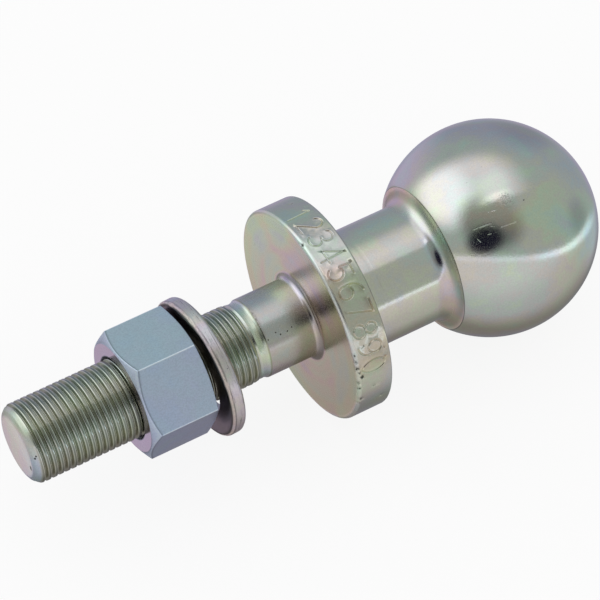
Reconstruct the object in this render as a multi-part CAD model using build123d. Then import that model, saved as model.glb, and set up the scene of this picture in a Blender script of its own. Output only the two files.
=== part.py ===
from build123d import *
from math import asin, atan2, cos, degrees, pi, radians, sin, sqrt, tan
import os

# ---------------------------------------------------------------- driving dimensions (mm, degrees)
# "s" is the distance from the ball's centre along the stem, towards the threaded end.
ball_r = 25.0            # 50 mm ball
flare_arc_r = 3.6        # hollow between the ball and the neck
flare_s = 21.35          # where that hollow runs out into the neck
neck_r = 14.05
neck_root_r = 1.2        # small fillet where the neck meets the flange
flange_back_s = 41.45
flange_front_s = 50.35
flange_r = 25.5
flange_back_break = 0.35
flange_front_round = 0.92
shank_fillet_r = 1.5
shank_r = 9.48           # plain part of the shank
runout_s = 62.95         # end of the plain part
relief_s0 = 63.75        # short land before the thread, where the thread fades in
relief_s1 = 64.5
relief_r = 9.02
thread_full_s = 66.9     # from here the thread has its full height
thread_r = 9.4           # over the crests of the 3/4 in thread
thread_end_s = 119.9
end_bevel = [(120.45, 8.95), (121.2, 8.3), (121.72, 7.35)]
end_s = 121.9            # the end face is crowned a little

nut_af = 27.0            # across flats
nut_rear_s = 79.35
nut_front_s = 95.6
nut_psi = 19.04          # a corner's angle from straight up, towards -Y
nut_front_face_r = 13.05 # flat ring of the front face, then a 30 degree chamfer
nut_front_cham = 30.0
nut_rear_face_r = 13.3
nut_rear_cham = 17.0
nut_bore_r = 9.45
nut_mouth_r = 10.05      # countersink at each face

washer_r = 16.65
washer_bore_r = 10.7
washer_t = 3.5
washer_break = 0.45
washer_mid_s = 76.33
washer_shift = (-0.853, -0.570)     # the loose ring hangs off centre: upwards, and towards +Y
washer_slope = (0.01273, 0.04447)   # and leans: rise along s for each mm up, and for each mm towards +Y
washer_gap = 2.0         # the split, slanted through the section
washer_gap_slant = 35.0
washer_gap_psi = 193.0   # on the far underside

os.makedirs("parts", exist_ok=True)

# ---------------------------------------------------------------- rest position
# The ball and the flange's back edge both touch the ground at z = -ball_r, so the stem rises a little.
rim_s, rim_r = flange_back_s + flange_back_break, flange_r
tau = 0.0
for _ in range(50):
    tau = asin((rim_r * cos(tau) - ball_r) / rim_s)
print("stem rises by", round(degrees(tau), 4), "degrees")
e_dir = Vector(-cos(tau), 0, sin(tau))
up_dir = Vector(sin(tau), 0, cos(tau))
print("stem direction", tuple(round(v, 7) for v in (e_dir.X, e_dir.Y, e_dir.Z)))
place = Plane(origin=(0, 0, 0), x_dir=up_dir, z_dir=e_dir).location
# in the stem's own frame: x is up, y is the model's +Y, z is s

# ---------------------------------------------------------------- tow ball: ball, neck, flange and shank turned in one piece
# where the hollow's circle meets the ball
cs, cr, R1, R2 = flare_s, neck_r + flare_arc_r, ball_r, flare_arc_r
d = sqrt(cs * cs + cr * cr)
k = (R1 * R1 - R2 * R2 + d * d) / (2 * d)
h = sqrt(R1 * R1 - k * k)
cands = [(k * cs / d + h * cr / d, k * cr / d - h * cs / d), (k * cs / d - h * cr / d, k * cr / d + h * cs / d)]
fl = min(cands, key=lambda q: q[0])      # (s, r) of the sharp edge on the ball
print("flare edge s, r", [round(v, 3) for v in fl])


def pt(s, r):
    return (r, 0, s)      # profile points, in the plane through the stem


def on_circle(c_s, c_r, rad, ang):
    return (c_s + rad * cos(radians(ang)), c_r + rad * sin(radians(ang)))


a0 = atan2(fl[1] - cr, fl[0] - cs)
a0 = a0 + 2 * pi if a0 < 0 else a0
a1 = 1.5 * pi
am = 0.5 * (a0 + a1)
edges = []
edges.append(Edge.make_three_point_arc(pt(-ball_r, 0), pt(0, ball_r), pt(*fl)))
edges.append(Edge.make_three_point_arc(pt(*fl), pt(cs + R2 * cos(am), cr + R2 * sin(am)), pt(flare_s, neck_r)))


def line(p, q):
    edges.append(Edge.make_line(pt(*p), pt(*q)))
    return q


def arc(p, m, q):
    edges.append(Edge.make_three_point_arc(pt(*p), pt(*m), pt(*q)))
    return q


p = (flare_s, neck_r)
p = line(p, (flange_back_s - neck_root_r, neck_r))
p = arc(p, on_circle(flange_back_s - neck_root_r, neck_r + neck_root_r, neck_root_r, -45), (flange_back_s, neck_r + neck_root_r))
p = line(p, (flange_back_s, flange_r - flange_back_break))
p = line(p, (flange_back_s + flange_back_break, flange_r))
p = line(p, (flange_front_s - flange_front_round, flange_r))
p = arc(p, on_circle(flange_front_s - flange_front_round, flange_r - flange_front_round, flange_front_round, 45), (flange_front_s, flange_r - flange_front_round))
p = line(p, (flange_front_s, shank_r + shank_fillet_r))
p = arc(p, on_circle(flange_front_s + shank_fillet_r, shank_r + shank_fillet_r, shank_fillet_r, 225), (flange_front_s + shank_fillet_r, shank_r))
p = line(p, (runout_s, shank_r))
p = line(p, (relief_s0, relief_r))
p = line(p, (relief_s1, relief_r))
p = line(p, (thread_full_s, thread_r))
p = line(p, (thread_end_s, thread_r))
for q in end_bevel:
    p = line(p, q)
crown = end_s - p[0]
crown_r = (p[1] ** 2 + crown ** 2) / (2 * crown)      # a cap of this radius, centred on the stem
half_r = p[1] / 2
p = arc(p, (end_s - crown_r + sqrt(crown_r ** 2 - half_r ** 2), half_r), (end_s, 0))
p = line(p, (-ball_r, 0))
face = make_face(Wire(edges))
tow_ball = place * revolve(face, Axis.Z, 360)
export_step(tow_ball, "parts/tow_ball.step")

# ---------------------------------------------------------------- hex nut
nut_h = nut_front_s - nut_rear_s
nut_R = nut_af / 2 / cos(radians(30))
# a regular hexagon with its first corner at angle -nut_psi in the stem's frame
corners = [(nut_R * cos(radians(60 * i - nut_psi)), nut_R * sin(radians(60 * i - nut_psi))) for i in range(6)]
hex_prism = Pos(0, 0, nut_rear_s) * extrude(make_face(Polyline(*corners, close=True)), nut_h)
# the chamfers and the bore, as one turned blank that the hexagon is cut to
big = nut_R + 1.0
cut_f = (big - nut_front_face_r) * tan(radians(nut_front_cham))
cut_r = (big - nut_rear_face_r) * tan(radians(nut_rear_cham))
mouth = nut_mouth_r - nut_bore_r
blank = revolve(make_face(Polyline(
    pt(nut_rear_s, nut_mouth_r), pt(nut_rear_s, nut_rear_face_r), pt(nut_rear_s + cut_r, big),
    pt(nut_front_s - cut_f, big), pt(nut_front_s, nut_front_face_r), pt(nut_front_s, nut_mouth_r),
    pt(nut_front_s - mouth, nut_bore_r), pt(nut_rear_s + mouth, nut_bore_r), close=True)), Axis.Z, 360)
hex_nut = place * (hex_prism & blank)
export_step(hex_nut, "parts/hex_nut.step")

# ---------------------------------------------------------------- spring washer: a split ring of thick section, hanging loose on the thread
b = washer_break
ring = revolve(make_face(Polyline(
    (washer_bore_r, 0, -washer_t / 2 + b / 2), (washer_bore_r + b / 2, 0, -washer_t / 2),
    (washer_r - b, 0, -washer_t / 2), (washer_r, 0, -washer_t / 2 + b),
    (washer_r, 0, washer_t / 2 - b), (washer_r - b, 0, washer_t / 2),
    (washer_bore_r + b / 2, 0, washer_t / 2), (washer_bore_r, 0, washer_t / 2 - b / 2), close=True)), Axis.Z, 360)
# the split: a slanted slot through one side of the ring
slot = Box(12, washer_gap / cos(radians(washer_gap_slant)), 12)
slot = Pos((washer_r + washer_bore_r) / 2, 0, 0) * Rot(washer_gap_slant, 0, 0) * slot
slot = Rot(0, 0, -washer_gap_psi) * slot
ring = ring - slot
nx, ny = -washer_slope[0], -washer_slope[1]
normal = Vector(nx, ny, 1).normalized()
x_dir = Vector(1, 0, washer_slope[0]).normalized()
lean = Plane(origin=(washer_shift[0], washer_shift[1], washer_mid_s + washer_slope[0] * washer_shift[0] + washer_slope[1] * washer_shift[1]), x_dir=x_dir, z_dir=normal).location
spring_washer = place * lean * ring
export_step(spring_washer, "parts/spring_washer.step")

for name, body in (("tow_ball", tow_ball), ("hex_nut", hex_nut), ("spring_washer", spring_washer)):
    c = body.center(CenterOf.MASS)
    bb = body.bounding_box()
    print(name, "solids", len(body.solids()), "valid", body.is_valid, "volume", round(body.volume, 1),
          "centre", [round(v, 2) for v in (c.X, c.Y, c.Z)],
          "box", [round(v, 2) for v in (bb.min.X, bb.min.Y, bb.min.Z, bb.max.X, bb.max.Y, bb.max.Z)])
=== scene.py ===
import math

import bpy
import numpy as np
from mathutils import Matrix, Vector
from mathutils.geometry import delaunay_2d_cdt


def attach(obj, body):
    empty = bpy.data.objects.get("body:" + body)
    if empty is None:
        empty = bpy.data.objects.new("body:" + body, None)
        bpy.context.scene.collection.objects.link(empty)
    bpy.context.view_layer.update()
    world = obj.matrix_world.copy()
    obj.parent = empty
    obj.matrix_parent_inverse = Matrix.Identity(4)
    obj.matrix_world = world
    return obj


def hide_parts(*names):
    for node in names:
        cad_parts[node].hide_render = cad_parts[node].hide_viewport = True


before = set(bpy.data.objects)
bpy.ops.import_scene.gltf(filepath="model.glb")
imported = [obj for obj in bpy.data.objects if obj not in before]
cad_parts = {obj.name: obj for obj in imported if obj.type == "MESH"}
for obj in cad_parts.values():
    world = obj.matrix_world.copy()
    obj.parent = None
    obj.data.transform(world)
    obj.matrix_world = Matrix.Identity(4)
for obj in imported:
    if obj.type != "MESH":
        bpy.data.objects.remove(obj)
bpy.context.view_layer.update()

# ------------------------------------------------------------------ frame of the stem
# s runs from the ball's centre along the stem to the threaded end; x is up, y is the model's +Y; all in mm
E = np.array([-0.999928973, 0.0, 0.011918393])
UP = np.array([0.011918393, 0.0, 0.999928973])
YY = np.array([0.0, 1.0, 0.0])
TH0 = -math.pi
NCOL = 144

BALL_R = 25.0
FLARE_S, FLARE_R = 21.35, 3.6
NECK_R = 14.05
BACK_S, FRONT_S, RIM_R = 41.45, 50.35, 25.48
SHANK_R = 9.48
PITCH = 1.5875
CREST_R, ROOT_R = 9.4, 8.62
CREST_REF_S, CREST_REF_TH = 108.1, math.radians(56.66)


def smooth(x, a, b):
    t = np.clip((np.asarray(x, float) - a) / (b - a), 0, 1)
    return t * t * (3 - 2 * t)


def to_world(P):
    return (P[:, 2:3] * E + P[:, 0:1] * UP + P[:, 1:2] * YY) / 1000.0


def dir_world(N):
    return N[:, 2:3] * E + N[:, 0:1] * UP + N[:, 1:2] * YY


# ------------------------------------------------------------------ mesh builder
class Build:
    """Collects grids and patches in the stem's frame, welds them and writes one mesh with its own vertex normals."""

    def __init__(self):
        self.P, self.N, self.Q, self.T, self.n = [], [], [], [], 0

    def add(self, P, N=None):
        P = np.asarray(P, float).reshape(-1, 3)
        self.P.append(P)
        self.N.append(np.full_like(P, np.nan) if N is None else np.asarray(N, float).reshape(-1, 3))
        self.n += len(P)
        return self.n - len(P)

    def grid(self, G, flip=False):
        rows, cols = G.shape[:2]
        o = self.add(G)
        i = o + np.arange(rows * cols).reshape(rows, cols)
        q = np.stack([i[:-1, :-1], i[:-1, 1:], i[1:, 1:], i[1:, :-1]], -1).reshape(-1, 4)
        self.Q.append(q[:, ::-1] if flip else q)

    def tris(self, P, N, T):
        o = self.add(P, N)
        self.T.append(np.asarray(T) + o)

    def weld(self):
        P, N = np.vstack(self.P), np.vstack(self.N)
        key = np.round(P * 2e4).astype(np.int64)
        _, first, inv = np.unique(key, axis=0, return_index=True, return_inverse=True)
        inv = inv.reshape(-1)
        P2 = P[first]
        N2 = np.full_like(P2, np.nan)
        ok = ~np.isnan(N[:, 0])
        N2[inv[ok]] = N[ok]
        faces = []
        if self.Q:
            for f in inv[np.vstack(self.Q)]:
                g = [int(f[k]) for k in range(4) if f[k] != f[k - 1]]
                if len(g) >= 3 and len(set(g)) == len(g):
                    faces.append(tuple(g))
        if self.T:
            for f in inv[np.vstack(self.T)]:
                if len({int(x) for x in f}) == 3:
                    faces.append(tuple(int(x) for x in f))
        return P2, N2, faces


def vertex_normals(P, faces):
    N = np.zeros_like(P)
    for k in (3, 4):
        F = np.array([f for f in faces if len(f) == k], int)
        if not len(F):
            continue
        if k == 3:
            n = np.cross(P[F[:, 1]] - P[F[:, 0]], P[F[:, 2]] - P[F[:, 0]])
        else:
            n = np.cross(P[F[:, 2]] - P[F[:, 0]], P[F[:, 3]] - P[F[:, 1]])
        for j in range(k):
            a = P[F[:, (j + 1) % k]] - P[F[:, j]]
            b = P[F[:, j - 1]] - P[F[:, j]]
            la, lb = np.linalg.norm(a, axis=1), np.linalg.norm(b, axis=1)
            ang = np.arccos(np.clip((a * b).sum(1) / np.maximum(la * lb, 1e-12), -1, 1))
            un = n / np.maximum(np.linalg.norm(n, axis=1, keepdims=True), 1e-12)
            # weight by angle and by area, so that wide flats stay flat beside narrow rounded edges
            w = ang * np.linalg.norm(n, axis=1)
            np.add.at(N, F[:, j], un * w[:, None])
    return N / np.maximum(np.linalg.norm(N, axis=1, keepdims=True), 1e-12)


def make_object(name, build, body, node, material, masks=None):
    P, A, faces = build.weld()
    N = vertex_normals(P, faces)
    have = ~np.isnan(A[:, 0])
    N[have] = A[have]
    me = bpy.data.meshes.new(name)
    me.from_pydata(to_world(P).tolist(), [], faces)
    me.validate()
    for p in me.polygons:
        p.use_smooth = True
    at = me.attributes.new("L", "FLOAT_VECTOR", "POINT")
    at.data.foreach_set("vector", P.astype(np.float32).ravel())
    if masks is not None:
        for key, arr in masks(P, N).items():
            c = me.attributes.new(key, "FLOAT_COLOR", "POINT")
            full = np.ones((len(P), 4), np.float32)
            full[:, :3] = arr
            c.data.foreach_set("color", full.ravel())
    me.normals_split_custom_set_from_vertices(dir_world(N).tolist())
    me.materials.append(material)
    ob = bpy.data.objects.new(name, me)
    bpy.context.scene.collection.objects.link(ob)
    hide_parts(node)
    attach(ob, body)
    tris = sum(len(f) - 2 for f in faces)
    print(name, "vertices", len(P), "triangles", tris)
    return ob


TH = TH0 + 2 * math.pi * np.arange(NCOL + 1) / NCOL


def lathe(rows, th=TH):
    """rows of (s, r) turned about the stem"""
    rows = np.asarray(rows, float)
    s, r = rows[:, 0][:, None], rows[:, 1][:, None]
    return np.stack([r * np.cos(th)[None], r * np.sin(th)[None], s + 0 * th[None]], -1)


def arc_rows(cs, cr, rad, a0, a1, n):
    a = np.radians(np.linspace(a0, a1, n))
    return [(cs + rad * math.cos(t), cr + rad * math.sin(t)) for t in a]


# ------------------------------------------------------------------ helical thread, with its grid along the helix
def phase(s, th):
    """0 on a crest, 0.5 in a root; right-hand thread"""
    q = (s - CREST_REF_S) / PITCH - (th - CREST_REF_TH) / (2 * math.pi)
    return q - np.floor(q)


def tooth(ph):
    """1 on the crest, 0 in the root, with rounded flats and straight flanks"""
    d = np.abs(np.where(ph > 0.5, 1 - ph, ph))       # 0 crest .. 0.5 root
    x = np.clip((d - 0.20) / (0.45 - 0.20), 0, 1)
    y = 1 - x
    return 0.12 * (y * y * (3 - 2 * y)) + 0.88 * np.clip(y * 1.06 - 0.03, 0, 1)


SAMPLES = [-0.25, -0.195, -0.07, 0.07, 0.195, 0.25, 0.35, 0.43, 0.50, 0.57, 0.65]


def helix_grid(build, s0, s1, radius, th=TH, samples=SAMPLES, flip=False):
    """Rows follow the helix between two rings at about s0 and s1. Returns the rings' exact places."""
    m = len(samples)
    c0 = CREST_REF_S + PITCH * (TH0 - CREST_REF_TH) / (2 * math.pi)
    k0 = int(math.floor((s0 - c0) / PITCH)) - 1
    v = np.array([c0 + PITCH * (k + f) for k in range(k0, k0 + int((s1 - s0) / PITCH) + 5) for f in samples])
    v = np.sort(v)
    first = int(np.searchsorted(v, s0))
    last = int(np.searchsorted(v, s1 - PITCH, side="right")) - 1
    v = v[first:]
    M = last - first
    tau = (th - TH0) / (2 * math.pi)
    rows = []
    for k in range(m):                      # widening wedge from the first ring
        rows.append(v[0] + (v[k] - v[0]) * tau)
    for j in range(0, M + 1):
        rows.append(v[j] + PITCH * tau)
    for k in range(1, m + 1):               # narrowing wedge to the last ring
        rows.append(v[M] + PITCH * tau + (v[M + k] - v[M]) * (1 - tau))
    S = np.array(rows)
    T = np.broadcast_to(th[None], S.shape)
    R = radius(S, T)
    build.grid(np.stack([R * np.cos(T), R * np.sin(T), S], -1), flip)
    return v[0], v[M] + PITCH


def bevel_r(s):
    """the turned end: thread crests, then the bevel towards the end face"""
    return np.interp(s, [119.55, 120.0, 120.45, 121.2, 121.72], [9.42, 9.28, 8.95, 8.30, 7.35])


def outer_thread(s, th):
    w = smooth(s, 64.35, 67.3)
    crest = 9.03 + (CREST_R - 9.03) * w
    root = 9.01 + (ROOT_R - 9.01) * w
    # the first two turns are only partly filled, and uneven round the bar
    uneven = 0.03 * np.sin(3 * th + 1.0) * (1 - smooth(s, 66, 69))
    r = root + (crest - root) * tooth(phase(s, th)) + uneven
    # small unevenness of rolled crests
    r = r + 0.012 * np.sin(5 * th + 0.9 * s) * tooth(phase(s, th)) - 0.012
    return np.minimum(r, bevel_r(s))


def inner_thread(s, th):
    """the nut's thread at rest, a little outside the shank's, cut off at its minor diameter"""
    r = ROOT_R + (CREST_R - ROOT_R) * tooth(phase(s, th)) + 0.10
    r = np.maximum(r, 8.83)
    mouth = np.maximum(10.05 - (95.6 - s) * 1.15, 10.05 - (s - 79.35) * 1.15)
    return np.maximum(r, mouth)


# ------------------------------------------------------------------ strokes for the plain digits on the rim
def ell(cx, cy, rx, ry, a0, a1, n=14):
    return [(cx + rx * math.cos(math.radians(t)), cy + ry * math.sin(math.radians(t))) for t in np.linspace(a0, a1, n)]


DIGITS = {
    "0": [ell(0, 0.5, 0.27, 0.5, 0, 360, 28)],
    "1": [[(-0.16, 0.80), (0.04, 1.0), (0.04, 0.0)]],
    "2": [ell(0, 0.73, 0.26, 0.27, 165, -20, 12) + [(-0.27, 0.0), (0.28, 0.0)]],
    "3": [ell(-0.02, 0.75, 0.25, 0.25, 150, -80, 12), ell(-0.02, 0.26, 0.28, 0.26, 90, -150, 14)],
    "4": [[(0.12, 0.0), (0.12, 1.0), (-0.28, 0.30), (0.29, 0.30)]],
    "5": [[(0.24, 1.0), (-0.20, 1.0), (-0.23, 0.58)] + ell(-0.01, 0.32, 0.27, 0.32, 130, -145, 14)],
    "6": [ell(0.20, 0.55, 0.45, 0.45, 95, 175, 8) + ell(0, 0.29, 0.26, 0.29, 180, 540, 22)],
    "7": [[(-0.27, 1.0), (0.27, 1.0), (-0.08, 0.0)]],
    "8": [ell(0, 0.76, 0.22, 0.24, -90, 270, 20), ell(0, 0.26, 0.27, 0.26, 90, 450, 22)],
    "9": [ell(0, 0.71, 0.26, 0.29, 0, 360, 22) + ell(-0.20, 0.45, 0.45, 0.45, -5, -85, 8)],
}


def rim_strokes():
    """(points, depth) in mm on the unrolled rim: X against the turn, Y towards the threaded end"""
    rng = np.random.default_rng(5)
    out = []
    H, Wd = 5.7, 5.6
    for k, ch in enumerate("1234567890"):
        th = math.radians(19.0 - 10.35 * k)
        tilt = math.radians(rng.uniform(-3.5, 3.5))
        ds = rng.uniform(-0.25, 0.25)
        depth = 0.30 - 0.012 * k + rng.uniform(-0.02, 0.02)
        for line in DIGITS[ch]:
            pts = []
            for u, w in line:
                X, Y = u * Wd, (w - 0.5) * H
                X, Y = X * math.cos(tilt) - Y * math.sin(tilt), X * math.sin(tilt) + Y * math.cos(tilt)
                pts.append((th * RIM_R - X, 45.85 + ds - Y))
            out.append((np.array(pts), depth))
    return out


def seg_dist(P, A, B):
    d = B - A
    t = np.clip(((P - A) @ d) / max(d @ d, 1e-12), 0, 1)
    return np.linalg.norm(P - (A + t[:, None] * d), axis=1)


# profile of the patch: rim, rounded front edge, and the first of the front face, by its length w
RIM_S0 = BACK_S + 0.55
ROUND = 0.92
W1 = FRONT_S - ROUND - RIM_S0
W2 = W1 + ROUND * math.pi / 2
W3 = W2 + 1.0


def rim_point(w):
    """(s, r, normal_s, normal_r) at length w along the rim's profile"""
    w = np.asarray(w, float)
    a = np.clip((w - W1) / ROUND, 0, math.pi / 2)
    s = np.where(w < W1, RIM_S0 + w, FRONT_S - ROUND + ROUND * np.sin(a))
    r = np.where(w < W1, RIM_R, RIM_R - ROUND + ROUND * np.cos(a))
    r = np.where(w > W2, RIM_R - ROUND - (w - W2), r)
    return s, r, np.sin(a), np.cos(a)


def w_of_s(s):
    return np.where(s < FRONT_S - ROUND, s - RIM_S0, W1 + ROUND * np.arcsin(np.clip((s - FRONT_S + ROUND) / ROUND, 0, 1)))


# pits and nicks: (s, degrees, radius mm, depth mm)
PITS = [(50.1, -64.5, 0.30, 0.16), (50.07, -68.5, 0.34, 0.20), (50.0, -72.5, 0.42, 0.24), (49.6, -75.5, 0.34, 0.20),
        (49.13, -78.4, 0.46, 0.26), (50.15, -82.0, 0.34, 0.20), (49.9, -86.0, 0.28, 0.15), (49.48, -95.1, 0.40, 0.22),
        (50.2, -98.5, 0.22, 0.12), (49.98, -0.5, 0.34, 0.22), (42.9, -71.9, 0.32, 0.10), (42.75, -66.6, 0.24, 0.10),
        (44.3, -101.0, 0.20, 0.10), (47.4, -61.0, 0.16, 0.10), (46.2, -88.5, 0.18, 0.10), (44.9, 33.0, 0.16, 0.10),
        (49.9, 150.0, 0.30, 0.18), (50.1, 121.0, 0.26, 0.14), (43.0, 166.0, 0.26, 0.12), (49.7, -141.0, 0.34, 0.18)]


def rim_patch(build):
    strokes = rim_strokes()
    pits = [(math.radians(t) * RIM_R, float(w_of_s(np.array(s))), rad, dep) for s, t, rad, dep in PITS]

    def height(Q):
        h = np.zeros(len(Q))
        for pts, depth in strokes:
            # stroke points are in (X, s); the rim's flat part has w = s - RIM_S0
            pw = pts - np.array([0, RIM_S0])
            lo, hi = pw.min(0) - 1.2, pw.max(0) + 1.2
            m = np.where((Q > lo).all(1) & (Q < hi).all(1))[0]
            if not len(m):
                continue
            d = np.full(len(m), 9.0)
            for A, B in zip(pw[:-1], pw[1:]):
                d = np.minimum(d, seg_dist(Q[m], A, B))
            g = -depth * (1 - smooth(d, 0.03, 0.25)) + 0.014 * np.exp(-((d - 0.32) / 0.08) ** 2)
            h[m] = np.where(g < 0, np.minimum(h[m], g), np.where(h[m] < 0, h[m], np.maximum(h[m], g)))
        for X, w, rad, dep in pits:
            d = np.hypot(Q[:, 0] - X, Q[:, 1] - w)
            ang = np.arctan2(Q[:, 1] - w, Q[:, 0] - X)
            rr = rad * (1 + 0.25 * np.sin(3 * ang + X) + 0.15 * np.sin(5 * ang + 2 * w))
            h = h - dep * np.exp(-(d / rr) ** 2.5)
        return h

    pts = []
    cols = TH * RIM_R
    L0, L1 = cols[0], cols[-1]
    back = [(x, 0.0) for x in cols]
    front = [(x, W3) for x in cols]
    bg_w = [1.3, 2.6, 3.9, 5.2, 6.5, W1 - 0.35, W1, W1 + 0.24, W1 + 0.48, W1 + 0.72, W1 + 0.96, W1 + 1.2, W2, W2 + 0.3, W2 + 0.65]
    bg = [(x, w) for w in bg_w for x in cols]
    fine = []
    for P, depth in strokes:
        pw = P - np.array([0, RIM_S0])
        seg = np.linalg.norm(np.diff(pw, axis=0), axis=1)
        total = seg.sum()
        n = max(3, int(total / 0.24))
        cum = np.r_[0, np.cumsum(seg)]
        t = np.linspace(0, total, n + 1)
        X = np.interp(t, cum, pw[:, 0])
        Y = np.interp(t, cum, pw[:, 1])
        C = np.stack([X, Y], 1)
        D = np.gradient(C, axis=0)
        D /= np.maximum(np.linalg.norm(D, axis=1, keepdims=True), 1e-9)
        Nn = np.stack([-D[:, 1], D[:, 0]], 1)
        for off in (0, 0.08, -0.08, 0.16, -0.16, 0.25, -0.25, 0.36, -0.36):
            fine.append((C + Nn * off, abs(off)))
        for end, dd in ((C[0], -D[0]), (C[-1], D[-1])):      # rounded stroke ends
            for off in (0.09, 0.17, 0.26, 0.37):
                for ang in (-60, -30, 0, 30, 60):
                    c, s_ = math.cos(math.radians(ang)), math.sin(math.radians(ang))
                    v = np.array([dd[0] * c - dd[1] * s_, dd[0] * s_ + dd[1] * c])
                    fine.append(((end + v * off)[None], off))
    keep = []
    for C, off in fine:
        if off > 0:
            d = np.full(len(C), 9.0)
            for P, _ in strokes:
                pw = P - np.array([0, RIM_S0])
                if (C.min(0) > pw.max(0) + 1).any() or (C.max(0) < pw.min(0) - 1).any():
                    continue
                for A, B in zip(pw[:-1], pw[1:]):
                    d = np.minimum(d, seg_dist(C, A, B))
            C = C[d > off - 0.025]
        keep.append(C)
    for X, w, rad, dep in pits:
        for k, f in enumerate((0.0, 0.3, 0.55, 0.8, 1.05, 1.4)):
            n = 1 if f == 0 else 10
            a = np.linspace(0, 2 * np.pi, n, endpoint=False) + 0.3 * k
            keep.append(np.stack([X + rad * f * np.cos(a), w + rad * f * np.sin(a)], 1))
    F = np.vstack(keep)
    F = F[(F[:, 1] > 0.12) & (F[:, 1] < W3 - 0.12) & (F[:, 0] > L0 + 0.2) & (F[:, 0] < L1 - 0.2)]
    # thin out points that crowd each other
    _, ui = np.unique(np.round(F / 0.075).astype(int), axis=0, return_index=True)
    F = F[np.sort(ui)]
    bgp = np.array(bg)
    inner = bgp[(bgp[:, 0] > L0 + 1e-6) & (bgp[:, 0] < L1 - 1e-6)]
    # drop background points that fall inside the finely sampled parts
    cell = {}
    for i, (x, w) in enumerate(F):
        cell.setdefault((int(x // 0.5), int(w // 0.5)), []).append(i)
    def near(x, w, lim):
        cx, cw = int(x // 0.5), int(w // 0.5)
        for a in (-1, 0, 1):
            for b in (-1, 0, 1):
                for i in cell.get((cx + a, cw + b), ()):
                    if (F[i, 0] - x) ** 2 + (F[i, 1] - w) ** 2 < lim * lim:
                        return True
        return False
    inner = np.array([p for p in inner if not near(p[0], p[1], 0.22)])
    side_w = [w for w in bg_w]
    sides = [(L0, w) for w in side_w] + [(L1, w) for w in side_w]
    allp = np.vstack([np.array(back), np.array(front), np.array(sides), inner, F])
    res = delaunay_2d_cdt([Vector((float(x), float(y))) for x, y in allp], [], [], 0, 1e-5, True)
    V = np.array([(v.x, v.y) for v in res[0]])
    T = np.array([list(f) for f in res[2] if len(f) == 3])
    # keep the outline exactly on the neighbours' columns
    area = (V[T[:, 1], 0] - V[T[:, 0], 0]) * (V[T[:, 2], 1] - V[T[:, 0], 1]) - (V[T[:, 1], 1] - V[T[:, 0], 1]) * (V[T[:, 2], 0] - V[T[:, 0], 0])
    T[area < 0] = T[area < 0][:, ::-1]
    T = T[np.abs(area) > 1e-7]
    h = height(V)
    e = 0.03
    gx = (height(V + [e, 0]) - height(V - [e, 0])) / (2 * e)
    gw = (height(V + [0, e]) - height(V - [0, e])) / (2 * e)
    s, r, ns, nr = rim_point(V[:, 1])
    s, r = s + ns * h, r + nr * h
    th = V[:, 0] / RIM_R
    P = np.stack([r * np.cos(th), r * np.sin(th), s], 1)
    rad = np.stack([np.cos(th), np.sin(th), 0 * th], 1)
    tan = np.stack([-np.sin(th), np.cos(th), 0 * th], 1)
    ax = np.array([0, 0, 1.0])
    base = nr[:, None] * rad + ns[:, None] * ax
    along = -ns[:, None] * rad + nr[:, None] * ax
    N = base - gx[:, None] * tan - gw[:, None] * along
    N /= np.linalg.norm(N, axis=1, keepdims=True)
    build.tris(P, N, T)


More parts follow.
